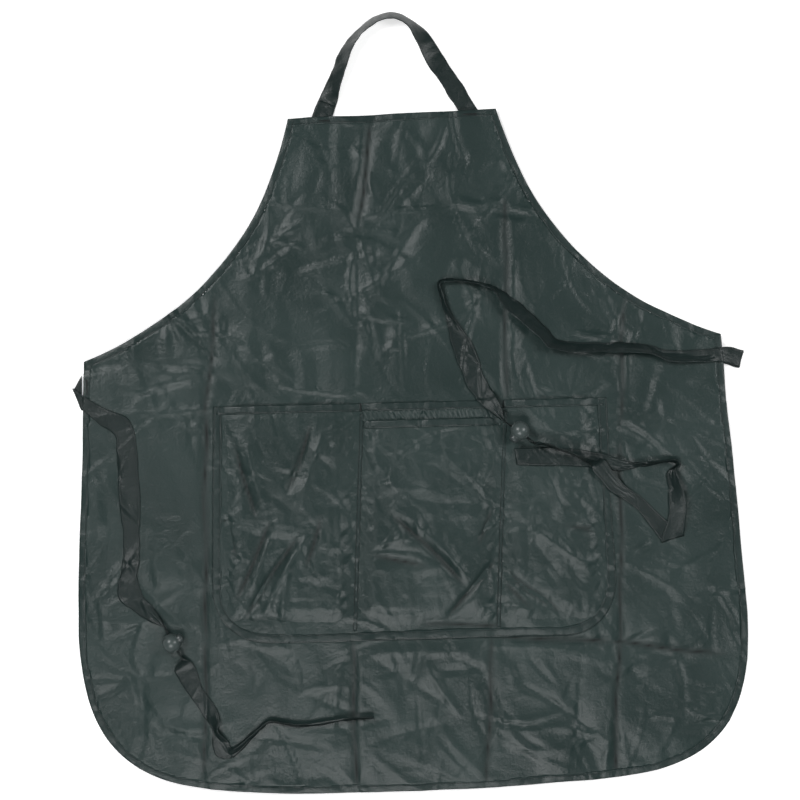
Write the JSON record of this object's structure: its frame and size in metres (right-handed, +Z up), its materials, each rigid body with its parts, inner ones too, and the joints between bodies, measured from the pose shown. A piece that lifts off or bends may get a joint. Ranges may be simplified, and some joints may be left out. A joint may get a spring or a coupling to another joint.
{
  "type": "artist smock apron",
  "caption": "Bib apron of thin nylon with bound edges, a wide divided patch pocket, a neck loop, and waist ties that carry ball cord locks.",
  "frame": {"origin": "middle of the laid-out apron, neck loop included, on the table under it", "axes": "+X across the apron, to the right when its front is seen from above; +Y up the apron towards the neck loop; +Z up off the table, out of the apron's front"},
  "size_m": [0.7749, 0.895, 0.0299],
  "materials": {
    "nylon_cloth": "thin slate-green nylon with a soft sheen",
    "nylon_tape": "folded and stitched strip of the same nylon",
    "thread": "dark sewing thread",
    "ball_plastic": "glossy moulded grey",
    "button_plastic": "glossy moulded dark grey",
    "spring_steel": "plain spring wire"
  },
  "bodies": {
    "apron": {"apron_panel": "nylon_cloth", "bib_hem": "nylon_tape", "armhole_binding_left": "nylon_tape", "skirt_binding": "nylon_tape", "armhole_binding_right": "nylon_tape", "neck_bartack_left": "thread", "neck_bartack_right": "thread", "pocket_panel": "nylon_cloth", "pocket_binding": "nylon_tape", "pocket_heading": "nylon_cloth", "pocket_hem_left": "nylon_tape", "pocket_hem_middle": "nylon_tape", "pocket_hem_right": "nylon_tape", "pocket_stitch_left": "thread", "pocket_stitch_right": "thread", "pocket_bartack_1": "thread", "pocket_bartack_2": "thread", "pocket_bartack_3": "thread", "pocket_bartack_4": "thread", "tie_bartack_left": "thread", "tie_bartack_right": "thread", "waist_tie_left": "nylon_tape", "waist_tie_right": "nylon_tape"},
    "neck_loop": {"neck_strap": "nylon_tape", "neck_tab": "nylon_tape", "neck_lap_stitch": "thread"},
    "toggle_left": {"toggle_left_barrel": "ball_plastic", "toggle_left_spring": "spring_steel"},
    "button_left": {"toggle_left_plunger": "button_plastic"},
    "toggle_right": {"toggle_right_barrel": "ball_plastic", "toggle_right_spring": "spring_steel"},
    "button_right": {"toggle_right_plunger": "button_plastic"}
  },
  "joints": [
    {"name": "neck_loop_fold", "type": "hinge", "parent": "apron", "child": "neck_loop", "pos_m": [0.0035, 0.3327, 0.002], "axis": [1, 0, 0], "range_deg": [-90, 150]},
    {"name": "toggle_left_slide", "type": "slide", "parent": "apron", "child": "toggle_left", "axis": [0.4524, -0.8918, 0], "range_m": [-0.01, 0.01]},
    {"name": "button_left_press", "type": "slide", "parent": "toggle_left", "child": "button_left", "axis": [-0.8918, -0.4524, 0], "range_m": [0, 0.0035], "stiffness_N_per_m": 800, "springref_m": -0.003, "deforming": ["toggle_left_spring"]},
    {"name": "toggle_right_slide", "type": "slide", "parent": "apron", "child": "toggle_right", "axis": [0.7727, -0.6347, 0], "range_m": [-0.01, 0.01]},
    {"name": "button_right_press", "type": "slide", "parent": "toggle_right", "child": "button_right", "axis": [0.6347, 0.7727, 0], "range_m": [0, 0.0035], "stiffness_N_per_m": 800, "springref_m": -0.003, "deforming": ["toggle_right_spring"]}
  ]
}
